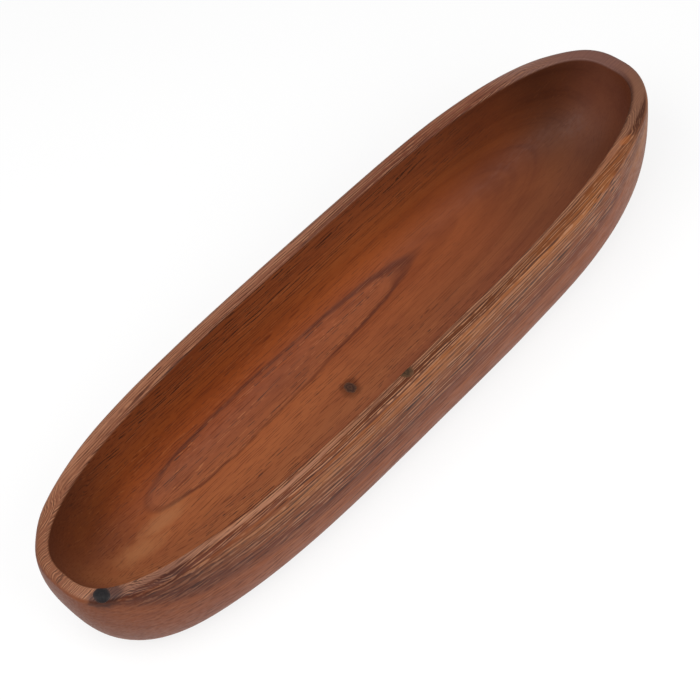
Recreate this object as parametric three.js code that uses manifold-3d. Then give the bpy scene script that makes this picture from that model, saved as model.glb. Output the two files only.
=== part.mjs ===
// A long boat-shaped bowl hollowed out of one block of hardwood, with the dead knots that the
// block came with: one in the floor, one across the rim's inner edge and one in the rim of an end.
// Millimetres, +X along the bowl and the grain, +Z up. The origin is the middle of the flat base.
import * as THREE from "three";
import { LoftGeometry } from "three/addons/geometries/LoftGeometry.js";
import { mergeVertices } from "three/addons/utils/BufferGeometryUtils.js";
import Module from "manifold-3d";

// The rim: the bowl's outline from above, all in one level plane. Being carved by hand, its left
// end (-X) reaches less far than its right end and has a thinner wall
const LEFT_RIM = 252.6;
const RIGHT_RIM = 253.6;
const SIDE_RIM = 68.2;
const RIM_HEIGHT = 80;
const LEFT_WALL = 7.4;
const RIGHT_WALL = 10;
const SIDE_WALL = 10.6;
const RIM_OUTER_ROUND = 4;
const RIM_INNER_ROUND = 1.2;

// Exponents of the ovals that the bowl's levels follow: 2 is an ellipse, more is squarer
const BASE_FULLNESS = 3.1;
const RIM_FULLNESS = 2.9;
const HOLLOW_FULLNESS = 2.74;

// The outer wall: a flat base, a round turn and a belly below the rim. The right end leans outwards,
// so its belly is less than 0
const LEFT_BASE = 218.3;
const RIGHT_BASE = 223.3;
const SIDE_BASE = 47.9;
const LEFT_TURN = 19.6;
const RIGHT_TURN = 18;
const SIDE_TURN = 21;
const LEFT_BELLY = 5.5;
const RIGHT_BELLY = -2;
const SIDE_BELLY = 2.7;
const BELLY_HEIGHT = 40;

// The hollow: steep walls that sweep into a dished floor, lowest in the middle
const FLOOR_THICKNESS = 12;
const HOLLOW_TURN_HEIGHT = 4;
const DISH_LENGTH = 365;
const DISH_WIDTH = 71;

// The pith of the tree, a line along X below the bowl: branches, so knots too, point away from it
const PITH_SIDE = 91;
const PITH_DEPTH = 96;

// The knots: where they come out, how wide they are there along the grain, and how deep they sit
const BRANCH_X = -22.7;
const FLOOR_KNOT_SIDE = -1.5;
const FLOOR_KNOT_DIAMETER = 7.2;
const FLOOR_KNOT_DEPTH = 6;
const INNER_RIM_KNOT_DIAMETER = 9;
const INNER_RIM_KNOT_DEPTH = 9;
const END_RIM_KNOT_ANGLE = THREE.MathUtils.degToRad(197.5);
const END_RIM_KNOT_DIAMETER = 9;
const END_RIM_KNOT_DEPTH = 8;
const KNOT_PROUD = 9;
const KNOT_CLEARANCE = 0.3;

// How finely the round forms are divided
const OVAL_POINTS = 72;
const OUTER_LEVELS = 11;
const HOLLOW_LEVELS = 14;
const ROUND_STEPS = 4;
const KNOT_SIDES = 20;

// How far along its curve the hollow starts, which leaves a small flat, and where its cut ends
const HOLLOW_START = 0.06;
const CUT_ABOVE_RIM = 5;

const WOOD = new THREE.MeshStandardMaterial({ color: 0x85502f, roughness: 0.55, metalness: 0 });
const KNOT = new THREE.MeshStandardMaterial({ color: 0x2b211d, roughness: 0.7, metalness: 0 });

const wasm = await Module();
wasm.setup();

// Half sizes of a level: to its left end, to its right end and to its sides.
const rim = { left: LEFT_RIM, right: RIGHT_RIM, side: SIDE_RIM };
const hollow = { left: LEFT_RIM - LEFT_WALL, right: RIGHT_RIM - RIGHT_WALL, side: SIDE_RIM - SIDE_WALL };

// A level whose half sizes are all smaller by the same amount, or larger below 0.
function smaller({ left, right, side }, amount) {
  return { left: left - amount, right: right - amount, side: side - amount };
}

// A point of the oval with these half sizes, at an angle measured from +X.
function ovalPoint({ left, right, side }, fullness, height, angle) {
  const bend = (value) => Math.sign(value) * Math.abs(value) ** (2 / fullness);
  const along = bend(Math.cos(angle));
  const across = bend(Math.sin(angle));
  return new THREE.Vector3(along * (along < 0 ? left : right), across * side, height);
}

// One level of the bowl: the whole oval, anticlockwise from above.
function oval(halfSizes, fullness, height) {
  return Array.from({ length: OVAL_POINTS }, (_, i) =>
    ovalPoint(halfSizes, fullness, height, (2 * Math.PI * i) / OVAL_POINTS),
  );
}

// A wall as the levels that its three sections give, all read at the same places. A section is a
// curve whose x is a half size and whose y is a height; fullnessAt gives the oval for a height.
function levels({ left, right, side }, fullnessAt, places) {
  return places.map((t) => {
    const height = side.getPoint(t).y;
    const halfSizes = { left: left.getPoint(t).x, right: right.getPoint(t).x, side: side.getPoint(t).x };
    return oval(halfSizes, fullnessAt(height), height);
  });
}

// Evenly spaced places from one end of a curve to the other.
function spread(from, to, count) {
  return Array.from({ length: count + 1 }, (_, i) => THREE.MathUtils.lerp(from, to, i / count));
}

// The levels of a rounded rim edge that rises to the rim's plane while it moves in (or out, below 0).
function rimRound(halfSizes, fullness, radius, inward) {
  return spread(0, Math.PI / 2, ROUND_STEPS)
    .slice(1)
    .map((turn) => {
      const shift = inward * radius * (1 - Math.cos(turn));
      return oval(smaller(halfSizes, shift), fullness, RIM_HEIGHT - radius * (1 - Math.sin(turn)));
    });
}

function curve(...points) {
  return new THREE.CubicBezierCurve(...points.map(([x, y]) => new THREE.Vector2(x, y)));
}

// The block's outside: base, round turn, belly and the rim's outer edge.
function outerGeometry() {
  const wallTop = RIM_HEIGHT - RIM_OUTER_ROUND;
  const section = (base, turn, belly, top) =>
    curve([base, 0], [base + turn, 0], [top + belly, BELLY_HEIGHT], [top, wallTop]);
  const sections = {
    left: section(LEFT_BASE, LEFT_TURN, LEFT_BELLY, rim.left),
    right: section(RIGHT_BASE, RIGHT_TURN, RIGHT_BELLY, rim.right),
    side: section(SIDE_BASE, SIDE_TURN, SIDE_BELLY, rim.side),
  };
  const fullnessAt = (height) => THREE.MathUtils.lerp(BASE_FULLNESS, RIM_FULLNESS, height / wallTop);
  const wall = [
    ...levels(sections, fullnessAt, spread(0, 1, OUTER_LEVELS)),
    ...rimRound(rim, RIM_FULLNESS, RIM_OUTER_ROUND, 1),
  ];
  return new LoftGeometry(wall, { capStart: true, capEnd: true });
}

// What is carved away: the dished hollow, flaring at the rim's inner edge and open above.
function hollowGeometry() {
  const wallTop = RIM_HEIGHT - RIM_INNER_ROUND;
  const turnHeight = FLOOR_THICKNESS + HOLLOW_TURN_HEIGHT;
  const section = (dish, wall) =>
    curve([0, FLOOR_THICKNESS], [dish / 2, FLOOR_THICKNESS], [wall, turnHeight], [wall, wallTop]);
  const sections = {
    left: section(DISH_LENGTH, hollow.left),
    right: section(DISH_LENGTH, hollow.right),
    side: section(DISH_WIDTH, hollow.side),
  };
  const mouth = smaller(hollow, -RIM_INNER_ROUND);
  const wall = [
    ...levels(sections, () => HOLLOW_FULLNESS, spread(HOLLOW_START, 1, HOLLOW_LEVELS)),
    ...rimRound(hollow, HOLLOW_FULLNESS, RIM_INNER_ROUND, -1),
    oval(mouth, HOLLOW_FULLNESS, RIM_HEIGHT + CUT_ABOVE_RIM),
  ];
  return new LoftGeometry(wall, { capStart: true, capEnd: true });
}

// A branch's stub: a cone that widens away from the pith, through the place where its knot comes out.
// The clearance widens and deepens it into the knot's seat.
function stubGeometry(place, diameter, depth, clearance) {
  const out = new THREE.Vector2(place.y - PITH_SIDE, place.z + PITH_DEPTH);
  const reach = out.length();
  const radiusAt = (distance) => ((diameter / 2) * (reach + distance)) / reach + clearance;
  const bottom = depth + clearance;
  const length = KNOT_PROUD + bottom;
  const stub = new THREE.CylinderGeometry(radiusAt(KNOT_PROUD), radiusAt(-depth), length, KNOT_SIDES);
  stub.translate(0, KNOT_PROUD - length / 2, 0);
  stub.rotateX(Math.PI / 2 + Math.atan2(-out.x, out.y));
  return stub.translate(place.x, place.y, place.z);
}

// A closed geometry as a solid for cutting and joining.
function solidOf(geometry) {
  const shell = new THREE.BufferGeometry();
  shell.setAttribute("position", geometry.getAttribute("position"));
  shell.setIndex(geometry.index);
  const merged = mergeVertices(shell);
  const vertProperties = merged.getAttribute("position").array;
  const triVerts = new Uint32Array(merged.index.array);
  return new wasm.Manifold(new wasm.Mesh({ numProp: 3, vertProperties, triVerts }));
}

// A solid as a named mesh.
function meshOf(name, solid, material) {
  const { vertProperties, triVerts } = solid.getMesh();
  const geometry = new THREE.BufferGeometry();
  geometry.setAttribute("position", new THREE.BufferAttribute(vertProperties, 3));
  geometry.setIndex(new THREE.BufferAttribute(triVerts, 1));
  geometry.computeVertexNormals();
  const mesh = new THREE.Mesh(geometry, material);
  mesh.name = name;
  return mesh;
}

const outerEdge = ovalPoint(rim, RIM_FULLNESS, RIM_HEIGHT, END_RIM_KNOT_ANGLE);
const innerEdge = ovalPoint(hollow, HOLLOW_FULLNESS, RIM_HEIGHT, END_RIM_KNOT_ANGLE);
const knots = [
  {
    name: "floor_knot",
    place: new THREE.Vector3(BRANCH_X, FLOOR_KNOT_SIDE, FLOOR_THICKNESS),
    diameter: FLOOR_KNOT_DIAMETER,
    depth: FLOOR_KNOT_DEPTH,
  },
  {
    name: "inner_rim_knot",
    place: new THREE.Vector3(BRANCH_X, -hollow.side, RIM_HEIGHT),
    diameter: INNER_RIM_KNOT_DIAMETER,
    depth: INNER_RIM_KNOT_DEPTH,
  },
  {
    name: "end_rim_knot",
    place: outerEdge.lerp(innerEdge, 0.5),
    diameter: END_RIM_KNOT_DIAMETER,
    depth: END_RIM_KNOT_DEPTH,
  },
];

const carved = solidOf(outerGeometry()).subtract(solidOf(hollowGeometry()));
const bowl = new THREE.Group();
let body = carved;
for (const { name, place, diameter, depth } of knots) {
  const stub = solidOf(stubGeometry(place, diameter, depth, 0));
  const seat = solidOf(stubGeometry(place, diameter, depth, KNOT_CLEARANCE));
  bowl.add(meshOf(name, carved.intersect(stub), KNOT));
  body = body.subtract(seat);
}
bowl.add(meshOf("bowl_body", body, WOOD));

export default bowl;
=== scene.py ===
"""A long boat-shaped bowl carved from one block of hardwood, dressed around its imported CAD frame.

Blender works in metres, with +X along the bowl and its grain and +Z up. The sizes in the classes
below are in millimetres, as on a maker's drawing, and MM turns them into metres.
"""

import functools
import logging
import math
from dataclasses import dataclass, field
from enum import Enum
from typing import Callable, Optional, Sequence, Union

import bmesh
import bpy
from mathutils import Matrix, Vector


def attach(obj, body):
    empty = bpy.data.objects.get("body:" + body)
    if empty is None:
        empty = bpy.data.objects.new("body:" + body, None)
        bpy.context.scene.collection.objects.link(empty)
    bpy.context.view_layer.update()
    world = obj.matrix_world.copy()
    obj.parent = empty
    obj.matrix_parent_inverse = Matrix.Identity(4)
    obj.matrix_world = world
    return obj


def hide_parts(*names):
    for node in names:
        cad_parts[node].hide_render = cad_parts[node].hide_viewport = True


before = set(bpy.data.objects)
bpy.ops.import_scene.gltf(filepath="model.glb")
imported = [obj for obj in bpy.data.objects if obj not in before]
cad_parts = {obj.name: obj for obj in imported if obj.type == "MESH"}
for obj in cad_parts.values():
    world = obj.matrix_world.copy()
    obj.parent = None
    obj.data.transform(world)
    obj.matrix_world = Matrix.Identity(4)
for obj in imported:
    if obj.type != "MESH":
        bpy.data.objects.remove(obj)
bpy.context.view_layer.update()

MM = 0.001
BODY = "root"
SMOOTH_ANGLE = math.radians(38)
WOOD_SPECULAR = 0.2
log = logging.getLogger("bowl")

Socket = bpy.types.NodeSocket
Piece = bpy.types.Object
Number = Union[float, Socket]
Colour = tuple[float, float, float]
Tint = Union[Colour, Socket]
Triple = tuple[float, float, float]
Amounts = tuple[tuple[float, float], ...]
Tones = tuple[tuple[float, Colour], ...]

# Where the tables of amounts and tones along the bowl start and end
ALONG = (-254.0, 254.0)


class Slot(Enum):
    """The record's material slots."""

    BOWL_WOOD = "bowl_wood"
    KNOT_WOOD = "knot_wood"


class Blend(Enum):
    """How a second colour is laid over a first one."""

    OVER = "MIX"
    STAIN = "MULTIPLY"


class Cut(Enum):
    """What a boolean keeps."""

    AWAY = "DIFFERENCE"
    COMMON = "INTERSECT"


class Bench:
    """The modelling bench: picking pieces, picking points in edit mode and applying modifiers."""

    @staticmethod
    def clear() -> None:
        """Leaves edit mode and deselects everything."""
        if bpy.context.mode != "OBJECT":
            bpy.ops.object.mode_set(mode="OBJECT")
        bpy.ops.object.select_all(action="DESELECT")

    @staticmethod
    def pick(piece: Piece) -> None:
        """Makes one piece the selected and active one.

        Args:
            piece: The piece to pick.
        """
        Bench.clear()
        piece.select_set(True)
        bpy.context.view_layer.objects.active = piece

    @staticmethod
    def open(piece: Piece) -> None:
        """Takes one piece into edit mode."""
        Bench.pick(piece)
        bpy.ops.object.mode_set(mode="EDIT")

    @staticmethod
    def close() -> None:
        """Leaves edit mode."""
        bpy.ops.object.mode_set(mode="OBJECT")

    @staticmethod
    def pick_points(piece: Piece, wanted: Callable[[Vector], bool]) -> None:
        """Selects, in edit mode, the points whose place passes a test.

        Args:
            piece: The piece that is in edit mode.
            wanted: The test of a point's place, in metres.
        """
        bpy.ops.mesh.select_all(action="DESELECT")
        shape = bmesh.from_edit_mesh(piece.data)
        for point in shape.verts:
            point.select_set(wanted(point.co))
        shape.select_flush(True)
        bmesh.update_edit_mesh(piece.data)

    @staticmethod
    def apply(piece: Piece, kind: str, **settings: object) -> None:
        """Adds a modifier to a piece, sets it up and applies it.

        Args:
            piece: The piece to change.
            kind: Blender's name of the modifier's type.
            settings: The modifier's settings by name.
        """
        Bench.pick(piece)
        modifier = piece.modifiers.new(kind.lower(), kind)
        for name, value in settings.items():
            setattr(modifier, name, value)
        bpy.ops.object.modifier_apply(modifier=modifier.name)

    @staticmethod
    def roughen(piece: Piece, name: str, strength: float, **cloud: float) -> None:
        """Pushes a piece's points in and out by a cloud.

        Args:
            piece: The piece to change.
            name: The cloud's name.
            strength: How far the points move in all, in metres.
            cloud: The cloud's settings by name.
        """
        wave = bpy.data.textures.new(name, "CLOUDS")
        for setting, value in cloud.items():
            setattr(wave, setting, value)
        settings = {"texture": wave, "texture_coords": "LOCAL", "mid_level": 0.5, "strength": strength}
        Bench.apply(piece, "DISPLACE", **settings)

    @staticmethod
    def cut(piece: Piece, tool: Piece, keep: Cut) -> None:
        """Cuts a piece with a closed tool, by what is to be kept."""
        Bench.apply(piece, "BOOLEAN", operation=keep.value, object=tool, solver="EXACT")

    @staticmethod
    def discard(piece: Piece) -> None:
        """Deletes a tool that has done its work."""
        Bench.pick(piece)
        bpy.ops.object.delete()

    @staticmethod
    def coat(piece: Piece, finish: bpy.types.Material) -> None:
        """Smooths a piece's faces and gives it its finish.

        Args:
            piece: The piece to dress.
            finish: The material that it gets.
        """
        Bench.pick(piece)
        bpy.ops.object.shade_smooth_by_angle(angle=SMOOTH_ANGLE)
        piece.data.materials.clear()
        piece.data.materials.append(finish)


@dataclass(frozen=True)
class Fade:
    """A soft change of a value: where it starts, where it is full, and what it goes from and to."""

    start: float
    full: float
    low: float = 0.0
    high: float = 1.0


class FinishGraph:
    """The node tree of one finish, with a short call for each kind of node that wood needs."""

    def __init__(self, name: str) -> None:
        """Starts an empty material.

        Args:
            name: The material's name.
        """
        self.material = bpy.data.materials.new(name)
        self.material.use_nodes = True
        self.nodes = self.material.node_tree.nodes
        self.links = self.material.node_tree.links
        self.nodes.clear()

    def node(self, kind: str, **settings: object) -> bpy.types.Node:
        """Adds a node and sets its options.

        Args:
            kind: The node's type, without its ShaderNode prefix.
            settings: The node's options by name.

        Returns:
            The new node.
        """
        made = self.nodes.new("ShaderNode" + kind)
        for name, value in settings.items():
            setattr(made, name, value)
        return made

    def plug(self, socket: Socket, value: object) -> None:
        """Links a socket to another one, or writes a plain value on it.

        Args:
            socket: The socket that takes the value.
            value: Another socket, or a plain value.
        """
        if isinstance(value, Socket):
            self.links.new(value, socket)
        else:
            socket.default_value = value

    def vector(self, operation: str, first: Socket, second: Sequence[float]) -> Socket:
        """Works out a sum of a vector and a fixed one.

        Args:
            operation: Blender's name of the sum, such as ADD or CROSS_PRODUCT.
            first: The vector.
            second: The fixed one.

        Returns:
            The result's socket.
        """
        made = self.node("VectorMath", operation=operation)
        self.plug(made.inputs[0], first)
        self.plug(made.inputs[1], second)
        return made.outputs["Vector"]

    def millimetres(self) -> Socket:
        """Gives the piece's own coordinates in millimetres."""
        return self.vector("MULTIPLY", self.node("TexCoord").outputs["Object"], (1.0 / MM,) * 3)

    def split(self, vector: Socket) -> tuple[Socket, Socket, Socket]:
        """Gives a vector's three parts.

        Args:
            vector: The vector's socket.

        Returns:
            The sockets of its x, y and z.
        """
        parts = self.node("SeparateXYZ")
        self.plug(parts.inputs[0], vector)
        return parts.outputs[0], parts.outputs[1], parts.outputs[2]

    def join(self, x: Number, y: Number, z: Number) -> Socket:
        """Makes a vector of three parts.

        Args:
            x: Its first part.
            y: Its second part.
            z: Its third part.

        Returns:
            The vector's socket.
        """
        parts = self.node("CombineXYZ")
        for socket, value in zip(parts.inputs, (x, y, z)):
            self.plug(socket, value)
        return parts.outputs[0]

    def sum(self, operation: str, *values: Number) -> Socket:
        """Works out a plain sum.

        Args:
            operation: Blender's name of the sum, such as ADD or SINE.
            values: What goes in, up to three numbers or sockets.

        Returns:
            The result's socket.
        """
        made = self.node("Math", operation=operation)
        for socket, value in zip(made.inputs, values):
            self.plug(socket, value)
        return made.outputs[0]

    def times(self, *values: Number) -> Socket:
        """Multiplies values one after the other."""
        return functools.reduce(lambda first, second: self.sum("MULTIPLY", first, second), values)

    def rest(self, share: Socket) -> Socket:
        """Gives what a share leaves of 1."""
        return self.sum("SUBTRACT", 1.0, share)

    def gap(self, first: Socket, second: Number) -> Socket:
        """Gives how far two values are apart."""
        return self.sum("ABSOLUTE", self.sum("SUBTRACT", first, second))

    def length(self, vector: Socket) -> Socket:
        """Gives a vector's length.

        Args:
            vector: The vector's socket.

        Returns:
            The length's socket.
        """
        made = self.node("VectorMath", operation="LENGTH")
        self.plug(made.inputs[0], vector)
        return made.outputs["Value"]

    def noise(self, vector: Socket, fineness: Triple, detail: float = 2.0, rough: float = 0.5) -> Socket:
        """Gives a cloudy value between 0 and 1.

        Args:
            vector: Where it is read, in millimetres.
            fineness: Waves per millimetre along each axis.
            detail: How many finer waves are laid over the first.
            rough: How strong each finer wave is.

        Returns:
            The value's socket.
        """
        made = self.node("TexNoise")
        self.plug(made.inputs["Vector"], self.vector("MULTIPLY", vector, fineness))
        self.plug(made.inputs["Scale"], 1.0)
        self.plug(made.inputs["Detail"], detail)
        self.plug(made.inputs["Roughness"], rough)
        return made.outputs["Fac"]

    def span(self, value: Socket, start: float, full: float, low: Number, high: Number) -> Socket:
        """Carries a range of values smoothly on to another range.

        Args:
            value: What is carried.
            start: Where the first range starts.
            full: Where the first range ends.
            low: What the start becomes.
            high: What the end becomes.

        Returns:
            The result's socket.
        """
        made = self.node("MapRange", interpolation_type="SMOOTHSTEP")
        names = ("Value", "From Min", "From Max", "To Min", "To Max")
        for name, number in zip(names, (value, start, full, low, high)):
            self.plug(made.inputs[name], number)
        return made.outputs["Result"]

    def fade(self, value: Socket, fade: Fade) -> Socket:
        """Carries a value through a soft change."""
        return self.span(value, fade.start, fade.full, fade.low, fade.high)

    def ramp(self, value: Socket, stops: Tones, low: float, high: float) -> Socket:
        """Gives the colour that a value stands for.

        Args:
            value: What is looked up.
            stops: Values and their colours, in order.
            low: The lowest value of the ramp.
            high: The highest value of the ramp.

        Returns:
            The colour's socket.
        """
        place = self.node("MapRange")
        for name, number in (("Value", value), ("From Min", low), ("From Max", high)):
            self.plug(place.inputs[name], number)
        made = self.node("ValToRGB")
        made.color_ramp.interpolation = "EASE"
        elements = made.color_ramp.elements
        while len(elements) < len(stops):
            elements.new(0.5)
        for element, (at, colour) in zip(elements, stops):
            element.position = (at - low) / (high - low)
            element.color = (*colour, 1.0)
        self.plug(made.inputs["Fac"], place.outputs["Result"])
        return made.outputs["Color"]

    def amount(self, value: Socket, stops: Amounts, low: float, high: float) -> Socket:
        """Gives the amount that a value stands for, as a ramp gives a colour."""
        grey = tuple((at, (amount,) * 3) for at, amount in stops)
        return self.split(self.ramp(value, grey, low, high))[0]

    def lay(self, how: Blend, share: Number, under: Tint, over: Tint) -> Socket:
        """Lays one colour over another.

        Args:
            how: The way they blend.
            share: How much of the upper one shows.
            under: The lower colour.
            over: The upper colour.

        Returns:
            The blended colour's socket.
        """
        made = self.node("Mix", data_type="RGBA", blend_type=how.value)
        self.plug(made.inputs[0], share)
        colours = (socket for socket in made.inputs if socket.type == "RGBA")
        for socket, tint in zip(colours, (under, over)):
            self.plug(socket, tint if isinstance(tint, Socket) else (*tint, 1.0))
        return next(socket for socket in made.outputs if socket.type == "RGBA")

    def finish(self, colour: Socket, roughness: Socket, height: Socket, depth: float) -> bpy.types.Material:
        """Joins colour, gloss and relief in one surface.

        Args:
            colour: The surface's colour.
            roughness: Its roughness.
            height: Its relief, 0 to 1.
            depth: The relief's depth in millimetres.

        Returns:
            The finished material.
        """
        relief = self.node("Bump")
        self.plug(relief.inputs["Height"], height)
        self.plug(relief.inputs["Distance"], depth * MM)
        self.plug(relief.inputs["Strength"], 1.0)
        surface = self.node("BsdfPrincipled")
        self.plug(surface.inputs["Base Color"], colour)
        self.plug(surface.inputs["Roughness"], roughness)
        self.plug(surface.inputs["Normal"], relief.outputs["Normal"])
        self.plug(surface.inputs["Specular IOR Level"], WOOD_SPECULAR)
        self.plug(self.node("OutputMaterial").inputs["Surface"], surface.outputs["BSDF"])
        return self.material


@dataclass(frozen=True)
class Pattern:
    """A cloudy pattern in the wood.

    Its fineness is in waves per millimetre along each axis, with finer and weaker waves over them. The
    fade says at which values of the cloud the pattern sets in and is full, and how much of it shows.
    """

    fineness: Triple
    fade: Fade = Fade(0.5, 0.6)
    detail: float = 2.0
    rough: float = 0.5

    def cloud(self, graph: FinishGraph, place: Socket) -> Socket:
        """Gives the plain cloud, from 0 to 1."""
        return graph.noise(place, self.fineness, self.detail, self.rough)

    def swing(self, graph: FinishGraph, place: Socket) -> Socket:
        """Gives the cloud as a swing to both sides of 0."""
        return graph.sum("SUBTRACT", self.cloud(graph, place), 0.5)

    def share(self, graph: FinishGraph, place: Socket) -> Socket:
        """Gives how much of the pattern shows at a point."""
        return graph.fade(self.cloud(graph, place), self.fade)


@dataclass(frozen=True)
class Tree:
    """The tree that the block was cut from: where its pith ran and how its rings lie in the block.

    The drifts say how far the rings have moved outwards at places along the grain, once for the rings
    near the heart, which make the loop in the floor, and once for those near the bark. The wander and the
    ripple are the rings' own slow and quick waves.
    """

    pith_side: float = 91.0
    pith_depth: float = 96.0
    heart_ring: float = 150.0
    bark_ring: float = 200.0
    rings_cut: tuple[float, float] = (124.0, 244.0)
    turn_radius: float = 150.0
    heart_drift: Amounts = (
        (-254.0, -11.0), (-200.0, -7.6), (-171.0, -6.0), (-140.0, -4.5), (-108.0, -2.9), (-76.0, -1.7),
        (-40.0, -0.8), (0.0, -0.1), (40.0, 0.5), (60.0, 1.2), (79.0, 1.8), (110.0, 2.3), (160.0, 2.5),
    )
    bark_drift: Amounts = (
        (-254.0, -6.8), (-230.0, -4.8), (-186.0, -1.8), (-136.0, -1.3), (-80.0, -1.5), (-20.0, -2.0),
        (30.0, -2.9), (80.0, -3.9), (164.0, -5.7), (214.0, -9.3), (254.0, -12.5),
    )
    least_drift: float = -16.0
    drift_range: float = 24.0
    wander: Pattern = Pattern((0.01, 0.03, 0.03))
    wander_reach: float = 1.6
    ripple: Pattern = Pattern((0.03, 0.12, 0.12))
    ripple_reach: float = 0.6

    def branch(self, place: Vector) -> Vector:
        """Gives the way from the pith out to a place, square to the grain."""
        return Vector((0.0, place.y - self.pith_side, place.z + self.pith_depth))

    def drift(self, graph: FinishGraph, x: Socket, drift: Amounts) -> Socket:
        """Reads one of the drifts at a place along the grain, in millimetres."""
        shares = tuple((at, (amount - self.least_drift) / self.drift_range) for at, amount in drift)
        return graph.sum("MULTIPLY_ADD", graph.amount(x, shares, *ALONG), self.drift_range, self.least_drift)

    def rings(self, graph: FinishGraph, place: Socket) -> tuple[Socket, Socket]:
        """Gives each point's ring, and its place round the pith.

        Args:
            graph: The finish that reads it.
            place: The point, in millimetres.

        Returns:
            The sockets of the ring's radius and of the place along it, both in millimetres.
        """
        x, y, z = graph.split(place)
        across = graph.sum("SUBTRACT", y, self.pith_side)
        up = graph.sum("ADD", z, self.pith_depth)
        radius = graph.length(graph.join(0.0, across, up))
        heart, bark = (self.drift(graph, x, drift) for drift in (self.heart_drift, self.bark_drift))
        ring = graph.sum("ADD", radius, graph.span(radius, self.heart_ring, self.bark_ring, heart, bark))
        ring = graph.sum("MULTIPLY_ADD", self.wander.swing(graph, place), self.wander_reach, ring)
        ring = graph.sum("MULTIPLY_ADD", self.ripple.swing(graph, place), self.ripple_reach, ring)
        return ring, graph.times(graph.sum("ARCTAN2", across, up), self.turn_radius)


@dataclass(frozen=True)
class Form:
    """Where a point of the bowl lies: in the hollow, on the rim or outside."""

    left: float
    right: float
    side: float
    fullness: float
    rim_height: float
    lower_wall: Fade = Fade(35.0, 15.0, 0.0, 0.3)
    inner_edge: Fade = Fade(1.045, 1.02)
    floor: Fade = Fade(9.0, 11.0)
    rim_start: float = 2.2
    rim_full: float = 0.4

    def oval(self, graph: FinishGraph, x: Socket, y: Socket) -> Socket:
        """Gives 0 in the bowl's middle and 1 on the hollow's wall, seen from above.

        Args:
            graph: The finish that reads it.
            x: The place along the bowl, in millimetres.
            y: The place across the bowl, in millimetres.

        Returns:
            The value's socket.
        """
        ends = graph.sum("MAXIMUM", graph.sum("DIVIDE", x, self.right), graph.sum("DIVIDE", x, -self.left))
        sides = graph.sum("DIVIDE", graph.sum("ABSOLUTE", y), self.side)
        return graph.sum("ADD", *(graph.sum("POWER", share, self.fullness) for share in (ends, sides)))

    def inside(self, graph: FinishGraph, oval: Socket, z: Socket) -> Socket:
        """Gives 1 in the hollow and 0 on the rim and outside."""
        within = graph.sum("ADD", oval, graph.fade(z, self.lower_wall))
        return graph.times(graph.fade(within, self.inner_edge), graph.fade(z, self.floor))

    def rim(self, graph: FinishGraph, z: Socket) -> Socket:
        """Gives 1 on the rim's top and 0 below its rounded edges."""
        return graph.fade(z, Fade(self.rim_height - self.rim_start, self.rim_height - self.rim_full))


@dataclass(frozen=True)
class Zone:
    """A soft zone of the bowl, as fades of what a point reads; along the bowl it may have two."""

    x: Optional[Fade] = None
    x_end: Optional[Fade] = None
    y: Optional[Fade] = None
    z: Optional[Fade] = None
    ring: Optional[Fade] = None
    oval: Optional[Fade] = None


class WoodGraph(FinishGraph):
    """The bowl wood's node tree, with what its layers read at a point and the colour so far."""

    def __init__(self, name: str, tree: Tree, form: Form, rings: Tones) -> None:
        """Works out where each point lies in the bowl and in the tree.

        Args:
            name: The material's name.
            tree: The tree that the block was cut from.
            form: The bowl's form.
            rings: The colours of the tree's rings.
        """
        super().__init__(name)
        self.place = self.millimetres()
        self.x, self.y, self.z = self.split(self.place)
        self.ring, turn = tree.rings(self, self.place)
        self.along = self.join(self.x, self.ring, turn)
        self.oval = form.oval(self, self.x, self.y)
        self.inside = form.inside(self, self.oval, self.z)
        self.rim = form.rim(self, self.z)
        self.outside = self.rest(self.sum("MAXIMUM", self.inside, self.rim))
        self.colour = self.ramp(self.ring, rings, *tree.rings_cut)

    def share(self, zone: Zone) -> Socket:
        """Gives the share of a point that lies in a zone.

        Args:
            zone: The zone, with one fade or more.

        Returns:
            The product of its fades.
        """
        reads = (self.x, self.x, self.y, self.z, self.ring, self.oval)
        fades = (zone.x, zone.x_end, zone.y, zone.z, zone.ring, zone.oval)
        return self.times(*(self.fade(value, fade) for value, fade in zip(reads, fades) if fade))

    def tone(self, tones: Tones) -> Socket:
        """Reads a tone that changes along the bowl."""
        return self.ramp(self.x, tones, *ALONG)

    def stain(self, share: Number, tint: Tint) -> None:
        """Multiplies the colour so far by a tint."""
        self.colour = self.lay(Blend.STAIN, share, self.colour, tint)

    def cover(self, share: Number, tint: Tint) -> None:
        """Lays another colour over the colour so far."""
        self.colour = self.lay(Blend.OVER, share, self.colour, tint)


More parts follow.
